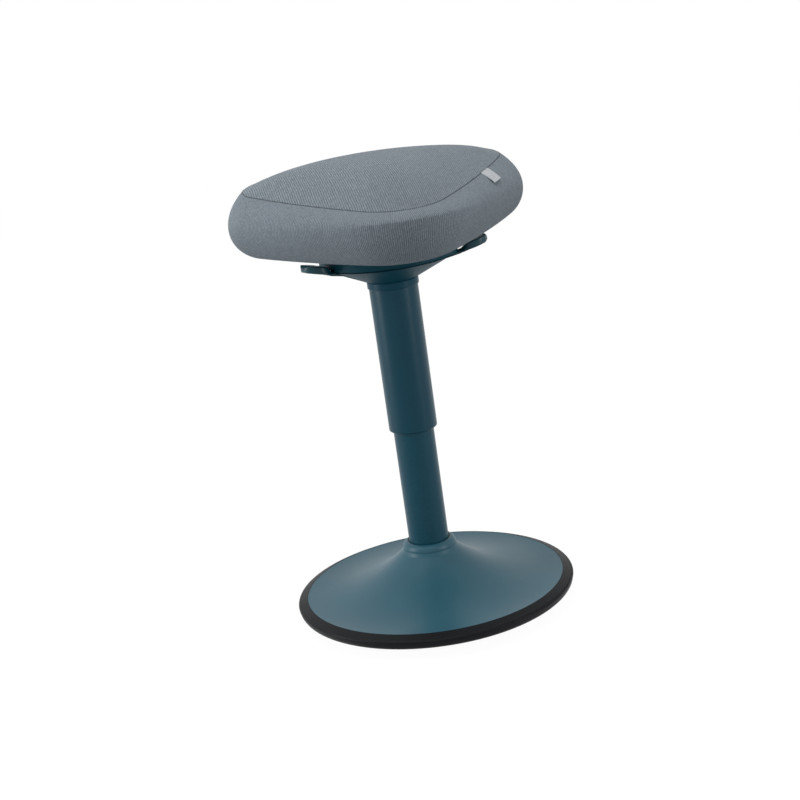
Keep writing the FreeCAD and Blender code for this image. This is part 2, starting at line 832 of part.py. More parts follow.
low_angles = (90.0, 75.0, 60.0, 45.0, 30.0, 15.0)
high_shares = (0.0, 0.25, 0.5, 0.75, 1.0)
crown_shares = (0.9, 0.8, 0.68, 0.56, 0.44, 0.32, 0.2, 0.1)


def seat_form(inward):
    """Cushion's closed form, with its whole surface moved inward by that much."""
    sections = []

    def add(inset, shrink, height, tilt_deg, normal_deg):
        n = math.radians(normal_deg)
        sections.append(seat_outline(inset + inward * math.cos(n), shrink,
                                     height - inward * math.sin(n), tilt_deg))

    add(side_low_in + flat_band, 1.0, seat_z, 0.0, -90.0)
    for a in low_angles:
        t = math.radians(a)
        tilt = low_tilt_deg + (wide_tilt_deg - low_tilt_deg) * (1 - math.sin(t))
        add(side_low_in * (1 - math.cos(t)), 1.0, wide_z - side_low * math.sin(t), tilt, -a)
    over = math.radians(seam_angle_deg)
    for share in high_shares:
        t = over * share
        tilt = wide_tilt_deg + (seam_tilt_deg - wide_tilt_deg) * share
        add(side_high_in * (1 - math.cos(t)) / (1 - math.cos(over)), 1.0,
            wide_z + side_high * math.sin(t) / math.sin(over), tilt, math.degrees(t))
    for share in crown_shares:
        tilt = crown_tilt_deg + (seam_tilt_deg - crown_tilt_deg) * share
        normal = 90 - (90 - seam_angle_deg) * share ** (crown_power - 1)
        add(side_high_in, share, seam_z + crown_h * (1 - share ** crown_power), tilt, normal)
    return Part.makeLoft(sections, True, False)


def seat_board():
    outline = seat_outline(board_inset, 1.0, board_z, 0.0)
    body = drill_plate(Part.Face(outline).extrude(V(0, 0, board_t)))
    top = board_z + board_t
    for x, y in around(plate_bolt_count, plate_bolt_r, 45):
        body = body.cut(disc(plate_bolt + tnut_barrel, board_z + board_t / 3, top + 1, x, y))
    return body


def seat_foam():
    """Foam that sits on the board and wraps over its edge."""
    body = seat_form(cover_t + soft_gap)
    base = Part.Face(seat_outline(board_inset - soft_gap, 1.0, board_z - 5, 0.0))
    top = board_z + board_t
    body = body.cut(base.extrude(V(0, 0, board_t + 5)))
    for x, y in around(plate_bolt_count, plate_bolt_r, 45):
        body = body.cut(disc(tnut_r + soft_gap, top - 1, top + tnut_t + soft_gap, x, y))
    return body


def below_seam():
    """Everything under the tilted plane that holds the seam."""
    span = 300.0
    box = Part.makeBox(2 * span, 2 * span, span, V(-span, -span, -span))
    box.rotate(V(0, 0, 0), V(1, 0, 0), seam_tilt_deg)
    box.translate(V(0, 0, seam_z))
    return box


def seat_covers():
    """Side panel with its hem turned under the board, and top panel."""
    skin = seat_form(0.0).cut(seat_form(cover_t))
    skin = skin.cut(disc(plate_r + hem_gap, seat_z - 1, board_z + 1))
    low = below_seam()
    return skin.common(low), skin.cut(low)


def seam_tag():
    """Bare woven tag that hangs from the seam along the side panel."""
    layer = seat_form(-soft_gap - tag_t).cut(seat_form(-soft_gap))
    strip = block(corner_x / 2, 2 * corner_x, -tag_w / 2, tag_w / 2, seat_z, seam_z + crown_h)
    strip.rotate(V(0, 0, 0), V(0, 0, 1), tag_angle_deg)
    strip.translate(V(0, centre_y, 0))
    lower = below_seam()
    lower.translate(V(0, 0, -tag_drop))
    return layer.common(strip).common(below_seam()).cut(lower)


side_panel, top_panel = seat_covers()


save("sole_pad", sole_pad())
save("base_carrier", base_carrier())
save("ballast_disc", ballast_disc())
save("ballast_screws", *ballast_screws())
save("base_shell", base_shell())
save("rim_bumper", rim_bumper())
save("neck_seal", neck_seal())
save("column_socket", column_socket())
save("socket_bolts", *socket_bolts())
save("lower_tube", lower_tube())
save("foot_plate", foot_plate())
save("lower_race", lower_race())
save("guide_bushing", guide_bushing())
save("rod", rod())
save("rod_clip", rod_clip())
save("upper_race", upper_race())
save("bearing_balls", *bearing_balls())
save("piston", piston())
save("piston_seal", piston_seal())
save("piston_nut", piston_nut())
save("gas_cylinder", gas_cylinder())
save("cylinder_gland", cylinder_gland())
save("valve_block", valve_block())
save("taper_hub", taper_hub())
save("upper_tube", upper_tube())
save("skirt_guide", skirt_guide())
save("tube_spacer", tube_spacer())
save("tube_collar", tube_collar())
save("cone_housing", cone_housing())
save("housing_screws", *housing_screws())
save("mech_channel", mech_channel())
save("seat_plate", seat_plate())
save("plate_bolts", *plate_bolts())
save("t_nuts", *t_nuts())
save("stop_pad", stop_pad())
save("right_pivot_pin", pivot_pin(1))
save("left_pivot_pin", pivot_pin(-1))
save("right_lever", lever(1))
save("left_lever", lever(-1))
save("release_button", release_button())
save("press_cap", press_cap())
save("seat_board", seat_board())
save("seat_foam", seat_foam())
save("side_panel", side_panel)
save("top_panel", top_panel)
save("seam_tag", seam_tag())
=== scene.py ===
# %% [markdown]
# # A wobble stool, dressed for its picture
# The measured model comes in as a fixed frame: every piece already has its
# size, its place and the body that it moves with. What is left is how the
# stool looks: the cloth, the seam, the paint, the moulded plastic, the rubber
# and the light. Each step below first says what the real thing is, then how it
# could be made, and why this way was chosen.

# %% Load the frame
import json
import math

import bpy
import numpy as np
from mathutils import Matrix, Vector


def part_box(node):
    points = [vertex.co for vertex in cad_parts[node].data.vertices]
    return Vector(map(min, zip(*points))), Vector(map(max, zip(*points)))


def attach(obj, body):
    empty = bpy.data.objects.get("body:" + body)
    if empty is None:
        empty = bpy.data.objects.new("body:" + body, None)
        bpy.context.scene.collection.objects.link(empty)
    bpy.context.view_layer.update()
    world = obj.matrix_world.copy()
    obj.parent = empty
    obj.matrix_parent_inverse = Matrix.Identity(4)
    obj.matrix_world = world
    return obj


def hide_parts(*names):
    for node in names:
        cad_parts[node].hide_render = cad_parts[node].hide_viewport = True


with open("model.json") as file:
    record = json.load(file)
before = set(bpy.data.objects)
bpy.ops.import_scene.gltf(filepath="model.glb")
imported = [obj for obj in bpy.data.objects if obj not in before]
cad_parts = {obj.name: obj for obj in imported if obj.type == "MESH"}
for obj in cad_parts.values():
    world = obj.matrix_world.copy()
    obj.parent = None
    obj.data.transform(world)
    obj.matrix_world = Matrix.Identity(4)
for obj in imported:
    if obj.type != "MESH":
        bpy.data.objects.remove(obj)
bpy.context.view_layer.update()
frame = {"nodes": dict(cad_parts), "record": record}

MM = 0.001
MM_PER_M = 1000.0
scene = bpy.context.scene

# %% [markdown]
# ## The camera
# The picture was taken from a little above the seat, and the camera was
# tipped sideways, so the stool seems to be rocking to the left. A camera can
# be turned with three angles, but those are hard to read. Here it gets a
# place, a point to look at and a roll, and the three axes follow from these.

# %% Camera at the picture's viewpoint
camera_place = Vector((-0.3394, -1.7430, 0.7529))
aim_point = Vector((-0.01135, 0.00213, 0.26968))
camera_roll = math.radians(-8.126)
lens_mm = 67.5
sensor_mm = 36.0

look = (aim_point - camera_place).normalized()
level_right = look.cross(Vector((0, 0, 1))).normalized()
level_up = level_right.cross(look)
right = level_right * math.cos(camera_roll) + level_up * math.sin(camera_roll)
up = right.cross(look)

camera_data = bpy.data.cameras.new("camera")
camera_data.lens = lens_mm
camera_data.sensor_width = sensor_mm
camera = bpy.data.objects.new("camera", camera_data)
scene.collection.objects.link(camera)
turn = Matrix((right, up, -look)).transposed().to_4x4()
camera.matrix_world = Matrix.Translation(camera_place) @ turn
scene.camera = camera
print("camera stands %.2f m from the stool" % (aim_point - camera_place).length)

# %% [markdown]
# ## Floor and light
# The stool was photographed on pure white. White paper also throws light back
# at the underside, and too much of it would wash out the dark paint. So the
# floor and the sky show white to the camera, while what they give to the
# stool is set apart, at a plain studio level.

# %% Helpers for node trees
def link(tree, source, target):
    tree.links.new(source, target)


def add_node(tree, kind, **values):
    """Adds a shader node and sets its plain properties."""
    node = tree.nodes.new(kind)
    for name, value in values.items():
        setattr(node, name, value)
    return node


def math_node(tree, operation, a, b=None, c=None):
    """A math node; each input is a number or another node's output."""
    node = add_node(tree, "ShaderNodeMath", operation=operation)
    for socket, value in zip(node.inputs, (a, b, c)):
        if value is None:
            continue
        if isinstance(value, (int, float)):
            socket.default_value = value
        else:
            link(tree, value, socket)
    return node.outputs[0]


def mix_color(tree, factor, a, b):
    """Blends two colours; a, b and factor are values or outputs."""
    node = add_node(tree, "ShaderNodeMix", data_type="RGBA")
    for socket, value in ((node.inputs[0], factor), (node.inputs[6], a), (node.inputs[7], b)):
        if isinstance(value, (int, float)):
            socket.default_value = value
        elif isinstance(value, (tuple, list)):
            socket.default_value = (*value, 1.0)
        else:
            link(tree, value, socket)
    return node.outputs[2]


def sees_backdrop(tree):
    """One for rays that show the background: seen, mirrored or seen through."""
    rays = add_node(tree, "ShaderNodeLightPath")
    mirrored = math_node(tree, "MAXIMUM", rays.outputs["Is Camera Ray"], rays.outputs["Is Glossy Ray"])
    return math_node(tree, "MAXIMUM", mirrored, rays.outputs["Is Transmission Ray"])


# %% White surroundings
backdrop_glow = 1.0     # what the camera sees
room_front = 0.42       # what the stool is lit by from the camera's side
room_back = 0.62        # and from behind
to_the_right = -0.50    # negative: the brighter end lies behind and to the left
dim_until = -0.5        # the light grows between these two places on the way there
bright_from = 0.9

world = bpy.data.worlds.new("studio")
scene.world = world
world.use_nodes = True
tree = world.node_tree
tree.nodes.clear()
place = add_node(tree, "ShaderNodeTexCoord")
split = add_node(tree, "ShaderNodeSeparateXYZ")
link(tree, place.outputs["Generated"], split.inputs[0])
leftward = math_node(tree, "MULTIPLY_ADD", split.outputs["X"], to_the_right, split.outputs["Y"])
depth = add_node(tree, "ShaderNodeMapRange")
depth.inputs["From Min"].default_value = dim_until
depth.inputs["From Max"].default_value = bright_from
depth.inputs["To Min"].default_value = room_front
depth.inputs["To Max"].default_value = room_back
link(tree, leftward, depth.inputs["Value"])
strength = add_node(tree, "ShaderNodeMix")
link(tree, sees_backdrop(tree), strength.inputs[0])
link(tree, depth.outputs[0], strength.inputs[2])
strength.inputs[3].default_value = backdrop_glow
glow = add_node(tree, "ShaderNodeBackground")
glow.inputs["Color"].default_value = (1, 1, 1, 1)
link(tree, strength.outputs[0], glow.inputs["Strength"])
link(tree, glow.outputs[0], add_node(tree, "ShaderNodeOutputWorld").inputs["Surface"])

# %% Pale floor
floor_half = 6.0
floor_glow = 1.045      # a little over white, for the light that the paper swallows
glow_share = 0.92       # of what is seen; the rest is shaded paper, which keeps the shadow
paper_white = (0.95, 0.95, 0.95, 1)
floor_bounce = (0.30, 0.31, 0.32, 1)    # what the floor throws back at the stool

floor_mesh = bpy.data.meshes.new("floor")
floor_mesh.from_pydata([(-floor_half, -floor_half, 0), (floor_half, -floor_half, 0),
                        (floor_half, floor_half, 0), (-floor_half, floor_half, 0)], [], [(0, 1, 2, 3)])
floor = bpy.data.objects.new("floor", floor_mesh)
scene.collection.objects.link(floor)

paper = bpy.data.materials.new("white_paper")
paper.use_nodes = True
tree = paper.node_tree
tree.nodes.clear()
shaded = add_node(tree, "ShaderNodeBsdfDiffuse")
shaded.inputs["Color"].default_value = paper_white
bounce = add_node(tree, "ShaderNodeBsdfDiffuse")
bounce.inputs["Color"].default_value = floor_bounce
bright = add_node(tree, "ShaderNodeEmission")
bright.inputs["Strength"].default_value = floor_glow
seen = add_node(tree, "ShaderNodeMixShader")
seen.inputs[0].default_value = glow_share
link(tree, shaded.outputs[0], seen.inputs[1])
link(tree, bright.outputs[0], seen.inputs[2])
either = add_node(tree, "ShaderNodeMixShader")
link(tree, sees_backdrop(tree), either.inputs[0])
link(tree, bounce.outputs[0], either.inputs[1])
link(tree, seen.outputs[0], either.inputs[2])
link(tree, either.outputs[0], add_node(tree, "ShaderNodeOutputMaterial").inputs["Surface"])
floor_mesh.materials.append(paper)


# %% Soft boxes
def soft_box(name, place, aim, width, height, power):
    """A rectangular lamp that faces the aim point."""
    data = bpy.data.lights.new(name, "AREA")
    data.shape = "RECTANGLE"
    data.size = width
    data.size_y = height
    data.energy = power
    lamp = bpy.data.objects.new(name, data)
    lamp.location = place
    lamp.rotation_euler = (Vector(aim) - Vector(place)).to_track_quat("-Z", "Y").to_euler()
    scene.collection.objects.link(lamp)


soft_box("overhead_box", (-0.3, -0.3, 2.3), (0, 0, 0.4), 1.8, 1.4, 14)
soft_box("right_box", (1.65, -1.40, 0.75), (0, 0, 0.35), 0.50, 1.6, 14)
soft_box("left_box", (-1.95, 0.15, 0.75), (0, 0, 0.35), 0.70, 1.6, 22)
scene.view_settings.view_transform = "Standard"

# %% [markdown]
# ## Finishes that several pieces share
# Paint, moulded plastic and rubber all have a fine grain, slow changes of
# tone, edges that are rubbed a little lighter and some dust on what faces up.
# Each of these is an effect on its own, so each is built once as a group of
# nodes with named inputs, and every material places it with its own values.


# %% Node groups
def new_group(name, inputs, outputs):
    """An empty group with named float inputs and outputs."""
    group = bpy.data.node_groups.new(name, "ShaderNodeTree")
    for label, value in inputs:
        socket = group.interface.new_socket(name=label, in_out="INPUT", socket_type="NodeSocketFloat")
        socket.default_value = value
    for label in outputs:
        group.interface.new_socket(name=label, in_out="OUTPUT", socket_type="NodeSocketFloat")
    return group, group.nodes.new("NodeGroupInput"), group.nodes.new("NodeGroupOutput")


def noise(tree, vector, scale, detail=2.0, roughness=0.5):
    node = add_node(tree, "ShaderNodeTexNoise")
    link(tree, vector, node.inputs["Vector"])
    if isinstance(scale, (int, float)):
        node.inputs["Scale"].default_value = scale
    else:
        link(tree, scale, node.inputs["Scale"])
    node.inputs["Detail"].default_value = detail
    node.inputs["Roughness"].default_value = roughness
    return node.outputs["Fac"]


def grain_group():
    """Fine grain height and slow mottling, sized in millimetres."""
    group, given, out = new_group("fine_grain", [("Grain mm", 0.6), ("Mottle mm", 40.0)],
                                  ["Height", "Mottle"])
    where = add_node(group, "ShaderNodeTexCoord").outputs["Object"]
    fine = noise(group, where, math_node(group, "DIVIDE", MM_PER_M, given.outputs["Grain mm"]), 3.0, 0.6)
    slow = noise(group, where, math_node(group, "DIVIDE", MM_PER_M, given.outputs["Mottle mm"]), 3.0, 0.55)
    link(group, fine, out.inputs["Height"])
    link(group, slow, out.inputs["Mottle"])
    return group


def wear_group():
    """Rubbed edges, from how sharply the surface turns outward."""
    patches_per_m = 260.0
    group, given, out = new_group("edge_rub", [("Start", 0.53), ("Reach", 0.08)], ["Mask"])
    sharp = add_node(group, "ShaderNodeNewGeometry").outputs["Pointiness"]
    above = math_node(group, "SUBTRACT", sharp, given.outputs["Start"])
    share = math_node(group, "DIVIDE", above, given.outputs["Reach"])
    where = add_node(group, "ShaderNodeTexCoord").outputs["Object"]
    broken = math_node(group, "MULTIPLY", share, noise(group, where, patches_per_m, 2.0))
    clean = add_node(group, "ShaderNodeClamp")
    link(group, broken, clean.inputs["Value"])
    link(group, clean.outputs[0], out.inputs["Mask"])
    return group


def dust_group():
    """Thin dust that settles where the surface faces up."""
    patches_per_m = 30.0
    falloff = 3.0
    group, given, out = new_group("settled_dust", [("Amount", 0.3)], ["Mask"])
    normal = add_node(group, "ShaderNodeNewGeometry").outputs["Normal"]
    parts = add_node(group, "ShaderNodeSeparateXYZ")
    link(group, normal, parts.inputs[0])
    upward = math_node(group, "POWER", math_node(group, "MAXIMUM", parts.outputs["Z"], 0.0), falloff)
    where = add_node(group, "ShaderNodeTexCoord").outputs["Object"]
    patchy = noise(group, where, patches_per_m, 5.0, 0.65)
    mask = math_node(group, "MULTIPLY", math_node(group, "MULTIPLY", upward, patchy), given.outputs["Amount"])
    link(group, mask, out.inputs["Mask"])
    return group


fine_grain = grain_group()
edge_rub = wear_group()
settled_dust = dust_group()


def place_group(tree, group, **values):
    node = add_node(tree, "ShaderNodeGroup")
    node.node_tree = group
    for name, value in values.items():
        node.inputs[name.replace("_", " ")].default_value = value
    return node


print("effects:", fine_grain.name, edge_rub.name, settled_dust.name)

# %% [markdown]
# ## Hard finishes
# One function makes every painted, moulded, rubber and metal finish, because
# they differ only in colour, gloss and grain. The numbers that are the same
# all over the surface sit on the shader itself; the groups only drive what
# changes from place to place: the colour, the roughness and the bump.


# %% A finish from its values
mottle_mm = 45.0
dust_color = (0.35, 0.35, 0.34)
dust_dull = 0.3         # added roughness under full dust
rough_swing = 0.12      # between the glossiest and the dullest patch
rub_fade = 0.3          # how far a rubbed edge goes towards its paler tone


def hard_finish(name, color, roughness, grain_mm, bump_mm, metallic=0.0, specular=0.5,
                mottle=0.10, rub=0.25, dust=0.10):
    material = bpy.data.materials.new(name)
    material.use_nodes = True
    tree = material.node_tree
    shader = tree.nodes["Principled BSDF"]
    shader.inputs["Metallic"].default_value = metallic
    shader.inputs["Specular IOR Level"].default_value = specular
    grain = place_group(tree, fine_grain, Grain_mm=grain_mm, Mottle_mm=mottle_mm)
    worn = place_group(tree, edge_rub)
    dusty = place_group(tree, settled_dust, Amount=dust)
    darker = tuple(c * (1 - mottle) for c in color)
    lighter = tuple(min(1.0, c * (1 + mottle)) for c in color)
    rubbed = tuple(min(1.0, (1 - rub_fade) * c + rub_fade * math.sqrt(c)) for c in color)
    tone = mix_color(tree, grain.outputs["Mottle"], darker, lighter)
    tone = mix_color(tree, math_node(tree, "MULTIPLY", worn.outputs["Mask"], rub), tone, rubbed)
    tone = mix_color(tree, dusty.outputs["Mask"], tone, dust_color)
    link(tree, tone, shader.inputs["Base Color"])
    uneven = math_node(tree, "MULTIPLY_ADD", grain.outputs["Mottle"], rough_swing,
                       roughness - rough_swing / 2)
    uneven = math_node(tree, "MULTIPLY_ADD", dusty.outputs["Mask"], dust_dull, uneven)
    link(tree, uneven, shader.inputs["Roughness"])
    bump = add_node(tree, "ShaderNodeBump")
    bump.inputs["Distance"].default_value = bump_mm * MM
    bump.inputs["Strength"].default_value = 1.0
    link(tree, grain.outputs["Height"], bump.inputs["Height"])
    link(tree, bump.outputs[0], shader.inputs["Normal"])
    return material


# %% The stool's hard finishes
teal = (0.0010, 0.0480, 0.0790)
teal_disc = (0.0220, 0.0980, 0.1380)
# colour, roughness, grain and bump in millimetres, then what differs from plain
finish_values = {
    "disc_paint": (teal_disc, 0.40, 0.7, 0.012, dict(specular=0.32, dust=0.0)),
    "tube_paint": (teal, 0.34, 0.7, 0.012, dict(specular=0.20, dust=0.0)),
    "collar_paint": (teal, 0.38, 0.7, 0.012, dict(specular=0.14, dust=0.0)),
    "housing_plastic": ((0.0015, 0.0480, 0.0720), 0.50, 0.5, 0.03, dict(specular=0.12, dust=0.02)),
    "lever_plastic": ((0.0020, 0.0480, 0.0680), 0.34, 0.5, 0.02, dict(specular=0.3, dust=0.02)),
    "rim_rubber": ((0.0036, 0.0044, 0.0060), 0.46, 0.8, 0.05, dict(specular=0.12, rub=0.1, dust=0.02)),
    "sole_rubber": ((0.0140, 0.0140, 0.0150), 0.75, 1.2, 0.08, dict(specular=0.3)),
    "carrier_plastic": ((0.016, 0.016, 0.018), 0.6, 0.6, 0.04, {}),
    "dark_plastic": ((0.010, 0.010, 0.011), 0.5, 0.5, 0.03, {}),
    "ballast_iron": ((0.060, 0.060, 0.066), 0.65, 2.5, 0.25, dict(metallic=0.6, mottle=0.25)),
    "fastener_steel": ((0.50, 0.51, 0.53), 0.32, 0.8, 0.01, dict(metallic=1.0, rub=0.6)),
    "socket_steel": ((0.30, 0.31, 0.33), 0.42, 0.6, 0.01, dict(metallic=1.0)),
    "bearing_steel": ((0.62, 0.63, 0.65), 0.15, 0.4, 0.002, dict(metallic=1.0, mottle=0.04)),
    "rod_chrome": ((0.72, 0.73, 0.75), 0.08, 0.4, 0.002, dict(metallic=1.0, mottle=0.03, dust=0.0)),
    "piston_alloy": ((0.58, 0.58, 0.60), 0.35, 0.5, 0.008, dict(metallic=1.0)),
    "seal_rubber": ((0.012, 0.012, 0.012), 0.6, 0.6, 0.02, {}),
    "cylinder_black": ((0.012, 0.012, 0.013), 0.35, 0.6, 0.01, {}),
    "release_steel": ((0.55, 0.56, 0.57), 0.30, 0.5, 0.006, dict(metallic=1.0)),
}
finishes = {}
for name, (color, roughness, grain_mm, bump_mm, others) in finish_values.items():
    finishes[name] = hard_finish(name, color, roughness, grain_mm, bump_mm, **others)
print(len(finishes), "hard finishes")

# %% Plywood for the seat board
figure_stretch = (6.0, 60.0, 500.0)     # along the grain, across it, and through the plies
pale_wood = (0.62, 0.44, 0.26)
dark_wood = (0.36, 0.22, 0.11)
wood = bpy.data.materials.new("board_wood")
wood.use_nodes = True
tree = wood.node_tree
shader = tree.nodes["Principled BSDF"]
where = add_node(tree, "ShaderNodeTexCoord").outputs["Object"]
stretch = add_node(tree, "ShaderNodeMapping")
stretch.inputs["Scale"].default_value = figure_stretch
link(tree, where, stretch.inputs["Vector"])
figure = noise(tree, stretch.outputs[0], 1.0, 6.0, 0.6)
link(tree, mix_color(tree, figure, dark_wood, pale_wood), shader.inputs["Base Color"])
link(tree, math_node(tree, "MULTIPLY_ADD", figure, 0.2, 0.5), shader.inputs["Roughness"])
bump = add_node(tree, "ShaderNodeBump")
bump.inputs["Distance"].default_value = 0.2 * MM
link(tree, figure, bump.inputs["Height"])
link(tree, bump.outputs[0], shader.inputs["Normal"])
finishes["board_wood"] = wood

# %% Give each measured piece its finish
slot_of = {}
for entry in frame["record"]["subparts"]:
    slot_of[entry["node"]] = entry["material_slot"]
soft_slots = ("foam", "side_fabric", "top_fabric", "tag_fabric")
for node_name, node in frame["nodes"].items():
    slot = slot_of[node_name]
    if slot in soft_slots:
        continue
    node.data.materials.clear()
    node.data.materials.append(finishes[slot])
print("finishes set on", sum(s not in soft_slots for s in slot_of.values()), "nodes")

# %% [markdown]
# ## The cloth
# The cover is a ribbed knit of blue-grey and pale yarns. Its ribs run up the
# side panel and from front to back on the top panel, about 2.4 mm apart, and
# each rib is a chain of small loops. A picture of cloth could be wrapped on,
# but waves of the right size, driven by the panel's own flat coordinates, stay
# sharp at any distance and follow the cut of each panel.


# %% Ribbed knit as a group
def knit_group():
    """Ribs and loops from the panel's flat coordinates, which are in metres."""
    rib_sway = 0.9          # how far a rib wanders, in ribs
    loop_relief = 0.35      # how far a rib's height falls between two loops
    group, given, out = new_group("ribbed_knit", [("Rib mm", 2.4), ("Loop mm", 1.7)],
                                  ["Height", "Yarn", "Melange", "Cloudy"])
    flat = add_node(group, "ShaderNodeUVMap", uv_map="cloth").outputs[0]
    parts = add_node(group, "ShaderNodeSeparateXYZ")
    link(group, flat, parts.inputs[0])
    wander = noise(group, flat, 55.0, 2.0)
    across_mm = math_node(group, "MULTIPLY", parts.outputs["X"], MM_PER_M)
    across = math_node(group, "DIVIDE", across_mm, given.outputs["Rib mm"])
    across = math_node(group, "MULTIPLY_ADD", wander, rib_sway, across)
    along_mm = math_node(group, "MULTIPLY", parts.outputs["Y"], MM_PER_M)
    along = math_node(group, "DIVIDE", along_mm, given.outputs["Loop mm"])
    whole = math_node(group, "FLOOR", across)
    odd = math_node(group, "MULTIPLY", math_node(group, "MODULO", whole, 2.0), 0.5)
    shifted = math_node(group, "ADD", along, odd)
    swing = math_node(group, "SINE", math_node(group, "MULTIPLY", across, math.pi))
    rib = math_node(group, "ABSOLUTE", swing)
    wave = math_node(group, "SINE", math_node(group, "MULTIPLY", shifted, 2 * math.pi))
    loop = math_node(group, "MULTIPLY_ADD", wave, 0.5, 0.5)
    relief = math_node(group, "MULTIPLY_ADD", loop, loop_relief, 1 - loop_relief)
    height = math_node(group, "MULTIPLY", rib, relief)
    cell = add_node(group, "ShaderNodeCombineXYZ")
    link(group, whole, cell.inputs[0])
    link(group, math_node(group, "FLOOR", shifted), cell.inputs[1])
    speck = add_node(group, "ShaderNodeTexWhiteNoise", noise_dimensions="3D")
    link(group, cell.outputs[0], speck.inputs["Vector"])
    link(group, height, out.inputs["Height"])
    link(group, loop, out.inputs["Yarn"])
    link(group, speck.outputs["Value"], out.inputs["Melange"])
    link(group, noise(group, flat, 14.0, 4.0, 0.6), out.inputs["Cloudy"])
    return group


ribbed_knit = knit_group()
# Painted shade: the knit's colour is darkened between the ribs, where the cloth would fall into shade.
painted_rib_shade = 0.25     # painted shade between two ribs, as a share of the dark yarn
rib_shade_contrast = 1.15
least_light = 0.20      # how light the painted shade at the bottom between two ribs stays
cloud_swing = 0.12


def cloth_finish(name, dark, pale, rib_mm, loop_mm, bump_mm):
    material = bpy.data.materials.new(name)
    material.use_nodes = True
    tree = material.node_tree
    shader = tree.nodes["Principled BSDF"]
    shader.inputs["Specular IOR Level"].default_value = 0.15
    shader.inputs["Sheen Weight"].default_value = 0.25
    shader.inputs["Sheen Roughness"].default_value = 0.5
    shader.inputs["Sheen Tint"].default_value = (0.75, 0.82, 0.90, 1)
    knit = place_group(tree, ribbed_knit, Rib_mm=rib_mm, Loop_mm=loop_mm)
    yarn = mix_color(tree, knit.outputs["Melange"], dark, pale)
    # painted shade: the colour runs from the yarn on the ribs to the painted dark between them, with a slow
    # random cloudiness mixed in
    shade = math_node(tree, "MULTIPLY_ADD", knit.outputs["Height"], rib_shade_contrast, least_light)
    shade = math_node(tree, "SUBTRACT", shade, cloud_swing / 2)
    shade = math_node(tree, "MULTIPLY_ADD", knit.outputs["Cloudy"], cloud_swing, shade)
    painted_valley_shade = tuple(painted_rib_shade * c for c in dark)
    link(tree, mix_color(tree, shade, painted_valley_shade, yarn), shader.inputs["Base Color"])
    link(tree, math_node(tree, "MULTIPLY_ADD", knit.outputs["Yarn"], -0.1, 0.92), shader.inputs["Roughness"])
    bump = add_node(tree, "ShaderNodeBump")
    bump.inputs["Distance"].default_value = bump_mm * MM
    link(tree, knit.outputs["Height"], bump.inputs["Height"])
    link(tree, bump.outputs[0], shader.inputs["Normal"])
    return material


cover_cloth = cloth_finish("cover_cloth", (0.195, 0.232, 0.262), (0.262, 0.305, 0.342), 2.4, 1.7, 0.45)
tag_cloth = cloth_finish("tag_cloth", (0.58, 0.61, 0.64), (0.70, 0.73, 0.76), 0.8, 0.5, 0.10)
# the thread's dark colour is partly its own and partly painted shade of the seam's groove
thread_and_groove_shade = cloth_finish("thread_and_groove_shade", (0.050, 0.058, 0.066), (0.080, 0.091, 0.102), 0.6, 0.6, 0.05)
print("cloth:", cover_cloth.name, tag_cloth.name)

# %% [markdown]
# ## The seat's outline
# Seen from above the seat is a triangle with very round corners and sides
# that bulge: three corner rounds joined by three long arcs, all meeting
# without a kink. Drawing it as arcs keeps it exact, and moving in from it by
# an even distance only changes the radii, so every row of the cushion can use
# the same directions.

# %% Outline from corner rounds and long arcs
nose_tip = -0.1745
nose_round = 0.0875
corner_x = 0.1818
corner_y = 0.0310
corner_round = 0.0685
back_y = 0.1420
side_round = 0.9000
crown_centre = 0.005


def long_arc(a, b, radius):
    """Centre of the long arc that encloses corner rounds a and b, and the two
    directions in which it touches them."""
    (ax, ay, ar), (bx, by, br) = a, b
    gap = math.hypot(bx - ax, by - ay)
    ra, rb = radius - ar, radius - br
    along = (ra ** 2 - rb ** 2 + gap ** 2) / (2 * gap)
    across = math.sqrt(ra ** 2 - along ** 2)
    ux, uy = (bx - ax) / gap, (by - ay) / gap
    cx, cy = ax + ux * along - uy * across, ay + uy * along + ux * across
    return cx, cy, math.atan2(ay - cy, ax - cx), math.atan2(by - cy, bx - cx)


def counted_on(start, end):
    """The direction end, counted on from start."""
    return end if end >= start else end + 2 * math.pi


def outline_frames(points_per_arc=48):
    """Arc centres, radii and directions for points all round the seat."""
    half = corner_x - corner_round
    drop = back_y - corner_y
    back_round = (half ** 2 + drop ** 2 - corner_round ** 2) / (2 * (drop - corner_round))
    nose = (0.0, nose_tip + nose_round, nose_round)
    right_corner = (half, corner_y, corner_round)
    left_corner = (-half, corner_y, corner_round)
    corners = (nose, right_corner, left_corner)
    joins = [(nose, right_corner, side_round), (right_corner, left_corner, back_round),
             (left_corner, nose, side_round)]
    arcs = [long_arc(*join) for join in joins]
    rows = []
    for i, (cx, cy, radius) in enumerate(corners):
        start, end = arcs[i - 1][3], arcs[i][2]
        for t in np.linspace(start, counted_on(start, end), points_per_arc, endpoint=False):
            rows.append((cx, cy, radius, t))
        ax, ay, start, end = arcs[i]
        for t in np.linspace(start, counted_on(start, end), points_per_arc, endpoint=False):
            rows.append((ax, ay, joins[i][2], t))
    return np.array(rows)


outline = outline_frames()


def ring_xy(inset, shrink=1.0):
    """Outline points drawn in by inset, then shrunk about the crown's middle."""
    x = outline[:, 0] + (outline[:, 2] - inset) * np.cos(outline[:, 3])
    y = outline[:, 1] + (outline[:, 2] - inset) * np.sin(outline[:, 3])
    return x * shrink, crown_centre + (y - crown_centre) * shrink


x, y = ring_xy(0)
around = np.concatenate([[0], np.cumsum(np.hypot(np.diff(x), np.diff(y)))])
print("outline %.0f x %.0f mm, %.0f mm round" % (np.ptp(x) / MM, np.ptp(y) / MM, around[-1] / MM))

# %% [markdown]
# ## The cushion
# The cushion is foam under a tight cover: a side panel that turns under the
# board, and a top panel, sewn together in one seam. It could be two shells
# over a block, but a closed form with a sewn groove reads the same and moves
# as one. Its rows run from the hem below, out round the roll, up to the seam
# and over the crown; each row is one outline at its own inset and height.

